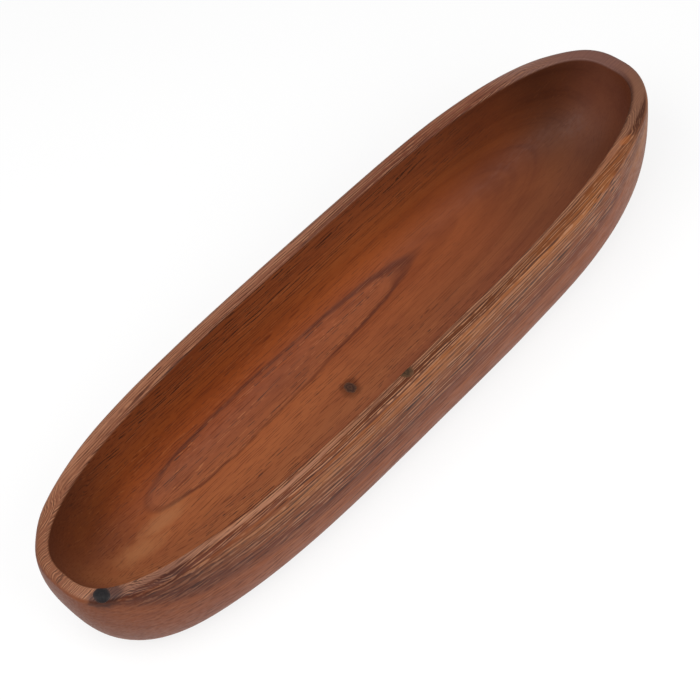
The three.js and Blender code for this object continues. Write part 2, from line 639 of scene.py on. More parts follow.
@dataclass(frozen=True)
class Hairlines:
    """Close, unevenly spaced lines along the grain, in one set each for the wall, the rim and the floor.

    A set has its lines per millimetre across the surface and up it, and the beat of a second wave that
    makes lines come and go. On the rim the lines follow its edge, and the grain at the ends.
    """

    wall: Triple = (0.26, -0.37, 0.70)
    rim: Triple = (0.60, -0.30, 1.43)
    floor: Triple = (0.60, 0.34, 1.43)
    oval_reach: float = 18.0
    rim_ends: Fade = Fade(205.0, 238.0, 0.65, 0.0)
    spacing: Pattern = Pattern((0.01, 0.16, 0.12))
    spacing_reach: float = 16.0
    quiver: Pattern = Pattern((0.03, 0.45, 0.34), detail=1.0)
    quiver_reach: float = 5.0
    beat_drift: Pattern = Pattern((0.012, 0.20, 0.17))
    beat_reach: float = 9.0
    strength: float = 0.72

    def across(self, wood: WoodGraph) -> Socket:
        """Draws the lines.

        Args:
            wood: The finish that gets them.

        Returns:
            A wave across the lines, to both sides of 0.
        """
        side = wood.sum("ABSOLUTE", wood.y)
        outwards = wood.times(wood.oval, self.oval_reach)
        follow = wood.fade(wood.sum("ABSOLUTE", wood.x), self.rim_ends)
        along_rim = wood.sum("MULTIPLY_ADD", wood.sum("SUBTRACT", outwards, side), follow, side)
        uneven = wood.times(self.spacing.swing(wood, wood.place), self.spacing_reach)
        uneven = wood.sum("MULTIPLY_ADD", self.quiver.swing(wood, wood.place), self.quiver_reach, uneven)
        drift = wood.times(self.beat_drift.swing(wood, wood.place), self.beat_reach)
        waves = []
        for way, (pitch, rise, beat) in ((outwards, self.wall), (along_rim, self.rim), (side, self.floor)):
            phase = wood.sum("MULTIPLY_ADD", wood.z, math.tau * rise, uneven)
            phase = wood.sum("MULTIPLY_ADD", way, math.tau * pitch, phase)
            second = wood.sum("MULTIPLY_ADD", phase, beat, drift)
            pair = wood.sum("ADD", wood.sum("SINE", phase), wood.sum("SINE", second))
            waves.append(wood.times(pair, self.strength))
        wall, rim, floor = waves
        return wood.span(wood.inside, 0.0, 1.0, wood.span(wood.rim, 0.0, 1.0, wall, rim), floor)


@dataclass(frozen=True)
class Ground:
    """The wood's broad colours: how the rings' tone changes along the bowl, with painted light and shade in
    it, and soft bands.
    """

    # Tints along the bowl, partly the wood's tone and partly painted light: painted shade darkens the hollow
    # towards both ends, and painted bluish reflection haze lightens the outside at the right end.
    near_tone_and_shading: Tones = (
        (-245.0, (0.68, 0.71, 0.74)), (-212.0, (0.91, 0.95, 1.00)), (-160.0, (0.99, 1.02, 1.03)),
        (-95.0, (1.03, 1.05, 1.06)), (-25.0, (0.97, 0.97, 1.00)), (45.0, (0.93, 0.90, 0.94)),
        (110.0, (0.87, 0.82, 0.87)), (168.0, (0.69, 0.66, 0.68)), (216.0, (0.49, 0.47, 0.48)),
        (245.0, (0.60, 0.60, 0.68)),
    )
    far_tone_and_shading: Tones = (
        (-245.0, (0.38, 0.31, 0.26)), (-212.0, (0.43, 0.35, 0.27)), (-160.0, (0.77, 0.60, 0.38)),
        (-95.0, (0.78, 0.58, 0.34)), (-25.0, (0.87, 0.70, 0.46)), (45.0, (0.88, 0.72, 0.50)),
        (110.0, (0.73, 0.59, 0.42)), (168.0, (0.51, 0.40, 0.29)), (216.0, (0.29, 0.24, 0.19)),
        (245.0, (0.35, 0.32, 0.30)),
    )
    outer_tone_and_shading: Tones = (
        (-254.0, (0.74, 0.68, 0.62)), (-212.0, (0.87, 0.81, 0.72)), (-160.0, (1.00, 0.96, 0.84)),
        (-60.0, (0.99, 0.89, 0.67)), (110.0, (1.01, 0.92, 0.67)), (170.0, (1.02, 0.92, 0.69)),
        (216.0, (1.09, 1.28, 1.36)), (254.0, (0.97, 1.07, 1.20)),
    )
    ends: Fade = Fade(150.0, 205.0)
    end_shift: float = 8.0
    far_wall: Fade = Fade(8.0, 40.0)
    # Painted light with a bluish reflection haze, high on the outside of the right end.
    lit_right_end: Zone = Zone(x=Fade(165.0, 205.0), z=Fade(52.0, 66.0))
    lit_right_end_tint: Colour = (1.15, 1.28, 1.32)
    # Painted bounce light with a bluish reflection haze, on the near inner wall towards the right end.
    lit_near_end: Zone = Zone(x=Fade(170.0, 215.0), y=Fade(-14.0, -34.0))
    lit_near_end_tint: Colour = (1.45, 1.65, 1.85)
    sheen: Pattern = Pattern((0.014, 0.06, 0.06), Fade(0.42, 0.66, 0.0, 0.8), 3.0, 0.6)
    sheen_tint: Colour = (0.88, 0.84, 0.88)
    bands: Pattern = Pattern((0.003, 0.30, 0.010), Fade(0.48, 0.70, 0.0, 0.45), 3.0, 0.55)
    band_tint: Colour = (0.66, 0.56, 0.54)
    end_bands: float = -0.85
    right_bands: Fade = Fade(60.0, 150.0, -0.85, 0.25)
    far_bands: tuple[float, float] = (6.0, 26.0)

    def lay(self, wood: WoodGraph) -> None:
        """Lays the tones, the painted light of the right end and the bands, which the hollow's ends have
        less of.

        Args:
            wood: The finish that gets them.
        """
        ends = wood.fade(wood.sum("ABSOLUTE", wood.x), self.ends)
        far = wood.fade(wood.sum("MULTIPLY_ADD", ends, self.end_shift, wood.y), self.far_wall)
        # The tone tables carry painted shade and painted reflection haze as well as the wood's tone.
        inner_tone_and_shading = wood.lay(Blend.OVER, far, wood.tone(self.near_tone_and_shading), wood.tone(self.far_tone_and_shading))
        wood.stain(1.0, wood.lay(Blend.OVER, wood.inside, wood.tone(self.outer_tone_and_shading), inner_tone_and_shading))
        # Painted light and bluish reflection haze on the outside of the right end.
        wood.stain(wood.times(wood.share(self.lit_right_end), wood.outside), self.lit_right_end_tint)
        # Painted bounce light and haze on the near inner wall at the right end.
        wood.stain(wood.times(wood.share(self.lit_near_end), wood.inside), self.lit_near_end_tint)
        wood.stain(self.sheen.share(wood, wood.place), self.sheen_tint)
        change = wood.span(wood.y, *self.far_bands, self.end_bands, wood.fade(wood.x, self.right_bands))
        kept = wood.sum("MULTIPLY_ADD", wood.times(ends, wood.inside), change, 1.0)
        wood.stain(wood.times(self.bands.share(wood, wood.along), kept), self.band_tint)


@dataclass(frozen=True)
class Loop:
    """The long loop that the innermost ring draws in the floor."""

    ring: float = 128.6
    outer_edge: float = 0.3
    inner_edge: float = -0.7
    heart: Colour = (0.262, 0.088, 0.040)
    heart_share: Fade = Fade(42.0, 33.0, 0.10, 0.36)
    arcs: Pattern = Pattern((0.012, 1.3, 0.03), Fade(0.50, 0.64, 0.0, 0.35), 2.0, 0.6)
    arc_tint: Colour = (0.62, 0.52, 0.50)
    tip: Fade = Fade(40.0, 76.0, 0.0, 0.5)
    tip_tint: Colour = (0.66, 0.62, 0.68)
    line: Colour = (0.105, 0.023, 0.008)
    line_width: Fade = Fade(28.0, 40.0, 0.62, 0.95)
    line_edge: Fade = Fade(1.0, 0.12)
    line_wear: Pattern = Pattern((0.02, 0.2, 0.05), Fade(0.30, 0.60, 0.55, 0.90))
    line_end: Fade = Fade(-176.0, -150.0, 0.30, 1.0)

    def lay(self, wood: WoodGraph) -> Socket:
        """Lays the loop's heart, its arcs, its darker tip and the line round it.

        Args:
            wood: The finish that gets it.

        Returns:
            The share of a point that is in the loop.
        """
        within = wood.fade(wood.ring, Fade(self.ring + self.outer_edge, self.ring + self.inner_edge))
        wood.cover(wood.times(within, wood.fade(wood.y, self.heart_share)), self.heart)
        wood.stain(wood.times(self.arcs.share(wood, wood.along), within), self.arc_tint)
        wood.stain(wood.times(within, wood.fade(wood.x, self.tip)), self.tip_tint)
        width = wood.fade(wood.y, self.line_width)
        line = wood.fade(wood.sum("DIVIDE", wood.gap(wood.ring, self.ring), width), self.line_edge)
        wear = self.line_wear.share(wood, wood.along)
        wood.cover(wood.times(line, wear, wood.fade(wood.x, self.line_end)), self.line)
        return within


@dataclass(frozen=True)
class RimWearAndShading:
    """The rim's tones, with painted shade and reflection haze, and the worn ribbon along its near inner
    edge.

    Left of the middle the ribbon moves outwards on to the rim's flat and grows paler, with darker wood
    beside it and on the rounded edge below. Places across the rim are in parts of the hollow's oval.
    """

    near_side: Fade = Fade(5.0, -30.0)
    far_side: Fade = Fade(-30.0, 5.0)
    # Tints of the rim's two sides, partly the wood's tone and partly painted light: painted bluish
    # reflection haze, strongest on the far side at the right end, and painted shade.
    near_tone_and_shading: Tones = (
        (-254.0, (0.80, 0.70, 0.57)), (-205.0, (0.80, 0.68, 0.58)), (-150.0, (0.86, 0.80, 0.78)),
        (-100.0, (0.78, 0.74, 0.80)), (-50.0, (0.38, 0.29, 0.28)), (10.0, (0.36, 0.28, 0.26)),
        (60.0, (0.44, 0.37, 0.34)), (120.0, (0.60, 0.53, 0.54)), (180.0, (1.02, 1.12, 1.26)),
        (225.0, (0.32, 0.30, 0.40)), (254.0, (0.38, 0.40, 0.50)),
    )
    far_tone_and_shading: Tones = (
        (-254.0, (1.24, 1.26, 1.20)), (-200.0, (1.20, 1.24, 1.20)), (-150.0, (1.06, 1.05, 1.00)),
        (-100.0, (0.98, 0.92, 0.85)), (-25.0, (1.06, 1.04, 1.06)), (45.0, (0.92, 0.88, 0.90)),
        (110.0, (0.75, 0.56, 0.49)), (168.0, (0.86, 0.73, 0.74)), (216.0, (1.14, 1.52, 2.20)),
        (254.0, (1.02, 1.30, 2.00)),
    )
    far_wood: Colour = (0.255, 0.110, 0.064)
    far_wood_share: float = 0.8
    # Painted shade on the far side of the rim, darker towards its inner edge.
    far_inner_edge_shade: Fade = Fade(1.32, 1.08, 0.0, 0.9)
    far_inner_edge_shade_tint: Colour = (0.60, 0.48, 0.41)
    left: Fade = Fade(-50.0, -130.0)
    shoulder_end: Fade = Fade(-232.0, -205.0)
    ribbon: Fade = Fade(0.0, 1.0, 1.10, 1.205)
    shoulder: tuple[float, float] = (-110.0, -225.0)
    shoulder_ribbon: float = 1.05
    half_width: Fade = Fade(0.0, 1.0, 0.03, 0.045)
    ribbon_edge: Fade = Fade(0.0, 0.075)
    worn: Colour = (0.330, 0.155, 0.092)
    worn_share: Fade = Fade(0.0, 1.0, 0.42, 0.72)
    beside_tint: Colour = (0.56, 0.43, 0.38)
    round_edge: Zone = Zone(y=Fade(-20.0, -35.0), z=Fade(73.0, 77.0))
    round_edge_tint: Colour = (0.72, 0.60, 0.58)
    inner_strip: Zone = Zone(x=Fade(45.0, -10.0), x_end=Fade(-195.0, -165.0), oval=Fade(1.14, 1.06))
    inner_strip_tint: Colour = (0.82, 0.70, 0.58)

    def lay(self, wood: WoodGraph) -> None:
        """Lays the rim's two sides' tones with painted shade and haze, then the ribbon and what lies beside
        it.

        Args:
            wood: The finish that gets them.
        """
        near = wood.times(wood.rim, wood.fade(wood.y, self.near_side))
        far = wood.times(wood.rim, wood.fade(wood.y, self.far_side))
        wood.cover(wood.times(far, self.far_wood_share), self.far_wood)
        # The rim's tints carry painted shade and painted bluish reflection haze.
        wood.stain(near, wood.tone(self.near_tone_and_shading))
        wood.stain(far, wood.tone(self.far_tone_and_shading))
        # Painted shade along the far side's inner edge of the rim.
        wood.stain(wood.times(wood.fade(wood.oval, self.far_inner_edge_shade), far), self.far_inner_edge_shade_tint)
        left = wood.fade(wood.x, self.left)
        middle = wood.span(wood.x, *self.shoulder, wood.fade(left, self.ribbon), self.shoulder_ribbon)
        off = wood.sum("SUBTRACT", wood.gap(wood.oval, middle), wood.fade(left, self.half_width))
        beside = wood.fade(off, self.ribbon_edge)
        shoulder = wood.times(left, wood.fade(wood.x, self.shoulder_end))
        wood.stain(wood.times(beside, shoulder, near), self.beside_tint)
        wood.stain(wood.times(wood.share(self.round_edge), shoulder, wood.outside), self.round_edge_tint)
        worn = wood.span(beside, 1.0, 0.0, 0.0, wood.fade(left, self.worn_share))
        wood.cover(wood.times(worn, near), self.worn)
        wood.stain(wood.times(wood.share(self.inner_strip), near), self.inner_strip_tint)


@dataclass(frozen=True)
class Streaks:
    """The fine dark and pale lines along the grain on the outer wall and the rim."""

    dark: Colour = (0.070, 0.026, 0.014)
    pale: Colour = (0.385, 0.178, 0.091)
    pale_share: float = 0.82
    by_ring: Amounts = (
        (124.0, 0.0), (190.0, 0.18), (207.0, 0.24), (212.0, 0.66), (216.0, 0.96), (240.0, 1.0),
    )
    across_rim: tuple[float, float] = (-20.0, 25.0)
    near_rim: Fade = Fade(60.0, 110.0, 0.46, 0.72)
    far_rim: float = 0.70
    right_rim: Fade = Fade(242.0, 205.0, 0.15, 1.0)
    left_rim: Fade = Fade(-190.0, -225.0, 0.0, 1.2)
    calm_left: Fade = Fade(-95.0, -190.0, 1.0, 0.62)
    calm_right: Fade = Fade(150.0, 215.0, 1.0, 0.80)
    mottle: Pattern = Pattern((0.012, 0.20, 0.17), Fade(0.38, 0.60, 0.68, 1.0))
    dashes: Pattern = Pattern((0.13, 0.50, 0.36), Fade(0.38, 0.54, 0.30, 1.0), 1.0)
    dark_line: Fade = Fade(0.1, 0.6)
    pale_line: Fade = Fade(-0.1, -0.6)

    def lay(self, wood: WoodGraph, lines: Socket, rings: tuple[float, float]) -> None:
        """Lays the lines, stronger towards the bark and broken into dashes.

        Args:
            wood: The finish that gets them.
            lines: The wave across the lines.
            rings: The first and the last ring in the block.
        """
        on_wall = wood.times(wood.amount(wood.ring, self.by_ring, *rings), wood.rest(wood.inside))
        sides = wood.span(wood.y, *self.across_rim, wood.fade(wood.x, self.near_rim), self.far_rim)
        sides = wood.times(sides, wood.fade(wood.x, self.right_rim))
        on_rim = wood.times(wood.sum("MAXIMUM", sides, wood.fade(wood.x, self.left_rim)), wood.rim)
        calm = wood.sum("MINIMUM", wood.fade(wood.x, self.calm_left), wood.fade(wood.x, self.calm_right))
        lined = wood.times(wood.sum("MAXIMUM", on_wall, on_rim), calm, self.mottle.share(wood, wood.place))
        broken = wood.times(lined, self.dashes.share(wood, wood.place))
        wood.cover(wood.times(wood.fade(lines, self.dark_line), broken), self.dark)
        wood.cover(wood.times(wood.fade(lines, self.pale_line), broken, self.pale_share), self.pale)


@dataclass(frozen=True)
class Grain:
    """The fibres, veins, flecks and pores of the hollow, livelier left of the middle."""

    liveliness: Amounts = (
        (-254.0, 0.15), (-222.0, 0.55), (-190.0, 0.90), (-140.0, 1.10), (-40.0, 1.05), (40.0, 0.85),
        (90.0, 0.50), (150.0, 0.30), (220.0, 0.30), (254.0, 0.10),
    )
    fibres: Pattern = Pattern((0.08, 0.60, 0.50), Fade(0.42, 0.60, 0.0, 0.84), 1.0, 0.6)
    fibre_line: Fade = Fade(-0.2, 0.9)
    fibre_tint: Colour = (0.56, 0.46, 0.42)
    rows: Pattern = Pattern((0.01, 0.24, 0.24), Fade(0.44, 0.58, 0.15, 1.0), 2.0, 0.6)
    floor_rows: Fade = Fade(8.0, -12.0, 0.62, 1.15)
    loop_rows: float = 1.5
    veins: Pattern = Pattern((0.16, 0.50, 0.42), Fade(0.49, 0.60), 1.0)
    vein_shift: Triple = (17.0, 5.0, 31.0)
    vein_line: Fade = Fade(0.25, 0.85)
    vein_share: float = 0.90
    vein: Colour = (0.070, 0.026, 0.014)
    flecks: Fade = Fade(0.50, 0.40)
    fleck_line: Fade = Fade(-0.25, -0.85)
    fleck_share: float = 0.28
    fleck: Colour = (0.440, 0.165, 0.062)
    far_wall: Zone = Zone(
        x=Fade(195.0, 120.0),
        x_end=Fade(-215.0, -165.0, 0.2, 1.0),
        y=Fade(20.0, 40.0),
        ring=Fade(144.0, 160.0),
    )
    crowd: Pattern = Pattern((0.01, 0.12, 0.03), Fade(0.30, 0.52))
    pores: Pattern = Pattern((0.12, 0.50, 0.40), Fade(0.41, 0.56), 1.0)
    pore_shift: Triple = (31.0, 17.0, 5.0)
    pore_line: Fade = Fade(0.2, 0.8)
    pore_share: float = 0.85
    pore: Colour = (0.042, 0.015, 0.007)

    def lay(self, wood: WoodGraph, lines: Socket, in_loop: Socket) -> Socket:
        """Lays the fibres, then short veins and flecks in rows, then the pores that crowd on the far wall.

        Args:
            wood: The finish that gets them.
            lines: The wave across the lines.
            in_loop: The share of a point that is in the loop.

        Returns:
            How deep the pores are.
        """
        lively = wood.amount(wood.x, self.liveliness, *ALONG)
        fibres = wood.times(self.fibres.share(wood, wood.place), wood.fade(lines, self.fibre_line), lively)
        wood.stain(fibres, self.fibre_tint)
        floor_rows = wood.fade(wood.y, self.floor_rows)
        rows = wood.times(self.rows.share(wood, wood.place), lively, wood.inside)
        rows = wood.times(rows, wood.span(in_loop, 0.0, 1.0, floor_rows, self.loop_rows))
        short = self.veins.cloud(wood, wood.vector("ADD", wood.place, self.vein_shift))
        veins = wood.times(wood.fade(short, self.veins.fade), wood.fade(lines, self.vein_line), rows)
        wood.cover(wood.times(veins, self.vein_share), self.vein)
        flecks = wood.times(wood.fade(short, self.flecks), wood.fade(lines, self.fleck_line), rows)
        wood.cover(wood.times(flecks, self.fleck_share), self.fleck)
        crowd = wood.times(self.crowd.share(wood, wood.along), wood.share(self.far_wall), wood.inside)
        pores = self.pores.share(wood, wood.vector("ADD", wood.place, self.pore_shift))
        deep = wood.times(pores, crowd, wood.fade(lines, self.pore_line))
        wood.cover(wood.times(deep, self.pore_share), self.pore)
        return deep


@dataclass(frozen=True)
class Blot:
    """A soft blot: its middle, its reach along each axis, its fade in parts of the reach, and its tint."""

    place: Triple
    reach: Triple
    fade: Fade
    tint: Colour

    def share(self, wood: WoodGraph, swing: Socket) -> Socket:
        """Gives the share of a point that lies in the blot, whose edge a cloud's swing makes uneven."""
        away = wood.vector("DIVIDE", wood.vector("SUBTRACT", wood.place, self.place), self.reach)
        return wood.fade(wood.sum("ADD", wood.length(away), swing), self.fade)


@dataclass(frozen=True)
class BranchMarks:
    """What the branches left: pale patches, halos round the knots and the end knot's blue-black stain."""

    cloud: Pattern = Pattern((0.12, 0.22, 0.22), detail=3.0, rough=0.6)
    patches: tuple[Blot, Blot] = (
        Blot((-194.0, 10.5, 23.5), (26.0, 8.0, 10.0), Fade(1.25, 0.1, 0.0, 0.55), (0.37, 0.15, 0.06)),
        Blot((-170.0, 17.0, 19.5), (26.0, 7.0, 9.0), Fade(1.25, 0.1, 0.0, 0.60), (0.37, 0.15, 0.06)),
    )
    fleck: Blot = Blot((198.6, -48.7, 80.0), (7.0, 3.0, 3.0), Fade(1.0, 0.4, 0.0, 0.36), (0.46, 0.135, 0.03))
    halos: tuple[Blot, Blot] = (
        Blot((-22.7, -1.5, 12.0), (8.4, 7.2, 6.0), Fade(1.15, 0.6, 0.0, 0.8), (0.46, 0.42, 0.36)),
        Blot((-22.7, -57.5, 80.0), (9.0, 6.0, 6.0), Fade(1.1, 0.4, 0.0, 0.6), (0.50, 0.46, 0.40)),
    )
    trail_ring: float = 216.0
    trail_width: Fade = Fade(10.0, 3.0)
    trail: Fade = Fade(-120.0, -205.0, 0.0, 0.62)
    trail_tint: Colour = (0.50, 0.46, 0.53)
    fringe: Blot = Blot(
        (-240.5, -29.0, 79.0), (15.0, 9.0, 8.0), Fade(1.15, 0.45, 0.0, 0.95), (0.30, 0.29, 0.38)
    )

    def lay(self, wood: WoodGraph) -> None:
        """Lays the patches and the fleck over the wood, and stains it round the knots.

        Args:
            wood: The finish that gets them.
        """
        swing = self.cloud.swing(wood, wood.place)
        patch = wood.sum("MAXIMUM", *(blot.share(wood, swing) for blot in self.patches))
        wood.cover(patch, self.patches[0].tint)
        wood.cover(self.fleck.share(wood, swing), self.fleck.tint)
        for halo in self.halos:
            wood.stain(halo.share(wood, swing), halo.tint)
        spread = wood.fade(wood.gap(wood.ring, self.trail_ring), self.trail_width)
        trail = wood.times(spread, wood.fade(wood.x, self.trail), wood.rest(wood.inside))
        wood.stain(trail, self.trail_tint)
        wood.stain(self.fringe.share(wood, swing), self.fringe.tint)


@dataclass(frozen=True)
class BowlWood:
    """Oiled straight-grained hardwood: rings round the pith, dark pores and streaks along the grain."""

    tree: Tree
    form: Form
    rings: Tones = (
        (124.0, (0.300, 0.083, 0.0230)), (134.0, (0.318, 0.092, 0.0290)), (142.0, (0.292, 0.085, 0.0280)),
        (147.0, (0.312, 0.097, 0.0340)), (156.0, (0.306, 0.096, 0.0380)), (164.0, (0.280, 0.088, 0.0380)),
        (178.0, (0.250, 0.080, 0.0370)), (190.0, (0.242, 0.070, 0.0265)), (204.0, (0.250, 0.071, 0.0225)),
        (209.5, (0.160, 0.040, 0.0123)), (213.0, (0.152, 0.035, 0.0100)), (217.0, (0.216, 0.062, 0.0205)),
        (222.5, (0.196, 0.058, 0.0172)), (228.0, (0.285, 0.101, 0.0340)), (236.0, (0.275, 0.101, 0.0410)),
    )
    grain: Grain = Grain()
    roughness: Fade = Fade(0.3, 0.7, 0.46, 0.58)
    fibre_height: float = 0.25
    face_height: float = 0.7
    relief: float = 0.12

    def material(self) -> bpy.types.Material:
        """Makes the finish, layer by layer.

        Returns:
            The bowl wood's material.
        """
        wood = WoodGraph("bowl_wood_oiled", self.tree, self.form, self.rings)
        lines = Hairlines().across(wood)
        Ground().lay(wood)
        in_loop = Loop().lay(wood)
        RimWearAndShading().lay(wood)
        Streaks().lay(wood, lines, self.tree.rings_cut)
        deep = self.grain.lay(wood, lines, in_loop)
        BranchMarks().lay(wood)
        fibres = self.grain.fibres.cloud(wood, wood.place)
        face = wood.sum("SUBTRACT", self.face_height, deep)
        height = wood.sum("MULTIPLY_ADD", fibres, self.fibre_height, face)
        return wood.finish(wood.colour, wood.fade(fibres, self.roughness), height, self.relief)


@dataclass(frozen=True)
class KnotWood:
    """Dead branch wood with its own tight rings, frayed at its edge into the wood round it."""

    heart: Colour = (0.050, 0.021, 0.013)
    ring: Colour = (0.085, 0.038, 0.022)
    edge: Colour = (0.150, 0.052, 0.022)
    core: float = 0.80
    ring_places: tuple[float, float] = (0.45, 0.7)
    reach: float = 1.05
    wobble: Pattern = Pattern((0.3, 0.45, 0.45), detail=3.0)
    wobble_reach: float = 0.9
    grit: Pattern = Pattern((0.8, 1.6, 1.6), Fade(0.4, 0.7, 0.0, 0.6), 3.0, 0.6)
    grit_tint: Colour = (0.45, 0.42, 0.42)
    roughness: Fade = Fade(0.3, 0.7, 0.5, 0.7)
    relief: float = 0.15

    def material(self, name: str, place: Vector, out: Vector, radius: float) -> bpy.types.Material:
        """Makes the finish for one knot.

        Args:
            name: The material's name.
            place: The middle of the knot's face, in millimetres.
            out: The way the branch grew.
            radius: The knot's radius at its face, in millimetres.

        Returns:
            The knot's material.
        """
        graph = FinishGraph(name)
        point = graph.vector("SUBTRACT", graph.millimetres(), place)
        from_heart = graph.length(graph.vector("CROSS_PRODUCT", point, out.normalized()))
        wobble = self.wobble.swing(graph, point)
        from_heart = graph.sum("MULTIPLY_ADD", wobble, radius * self.wobble_reach, from_heart)
        first, second = (self.core * part for part in self.ring_places)
        stops = (
            (0.0, self.heart),
            (first, self.ring),
            (second, self.heart),
            (self.core, self.ring),
            (1.0, self.edge),
        )
        colour = graph.ramp(graph.sum("DIVIDE", from_heart, radius), stops, 0.0, self.reach)
        grit = self.grit.cloud(graph, point)
        colour = graph.lay(Blend.STAIN, graph.fade(grit, self.grit.fade), colour, self.grit_tint)
        return graph.finish(colour, graph.fade(grit, self.roughness), grit, self.relief)


def bend(value: float, power: float) -> float:
    """Raises a number to a power and keeps its sign."""
    return math.copysign(abs(value) ** power, value)


@dataclass(frozen=True)
class Level:
    """One level of the bowl: its reach to the left end, right end and sides, its height and its oval."""

    left: float
    right: float
    side: float
    height: float
    fullness: float

    def reach(self) -> Triple:
        """Gives the level's half sizes: left, right and side."""
        return self.left, self.right, self.side

    def end(self, along: float) -> float:
        """Gives the reach to the end that a place lies towards: the right one above 0, else the left one."""
        return self.right if along > 0 else self.left

    def point(self, angle: float) -> Vector:
        """Gives the level's point at an angle from the right end, in millimetres."""
        along, across = (bend(part, 2.0 / self.fullness) for part in (math.cos(angle), math.sin(angle)))
        return Vector((along * self.end(along), across * self.side, self.height))

    def outwards(self, angle: float) -> Vector:
        """Gives the way straight out of the level's outline.

        Args:
            angle: The oval's angle from the right end.

        Returns:
            The way, one unit long.
        """
        power = 2.0 - 2.0 / self.fullness
        along, across = (bend(part, power) for part in (math.cos(angle), math.sin(angle)))
        return Vector((along / self.end(along), across / self.side, 0.0)).normalized()

    def moved(self, inwards: float, height: float) -> "Level":
        """Gives the same level further in by an amount all round, at another height."""
        return Level(*(reach - inwards for reach in self.reach()), height, self.fullness)

    def mixed(self, other: "Level", share: float) -> "Level":
        """Gives the level between this one and another."""
        mine, others = (tuple(vars(level).values()) for level in (self, other))
        return Level(*(a + (b - a) * share for a, b in zip(mine, others)))


@dataclass(frozen=True)
class Section:
    """A wall's section on the left end, the right end or a side: a curve with two handles, in half sizes."""

    start: float
    leave: float
    arrive: float
    end: float

    def at(self, t: float) -> float:
        """Gives a place on the curve."""
        s = 1.0 - t
        return s**3 * self.start + 3 * s * s * t * self.leave + 3 * s * t * t * self.arrive + t**3 * self.end


@dataclass(frozen=True)
class Carved:
    """A place where the carver left the outside a little fuller or leaner than its true oval, in degrees."""

    place: float
    reach: float
    proud: float

    def at(self, degrees: float) -> float:
        """Gives how far this place puts the outside off its oval, in millimetres, at an angle."""
        away = abs((degrees - self.place + 180.0) % 360.0 - 180.0)
        return self.proud * math.cos(math.pi / 2.0 * min(1.0, away / self.reach)) ** 2


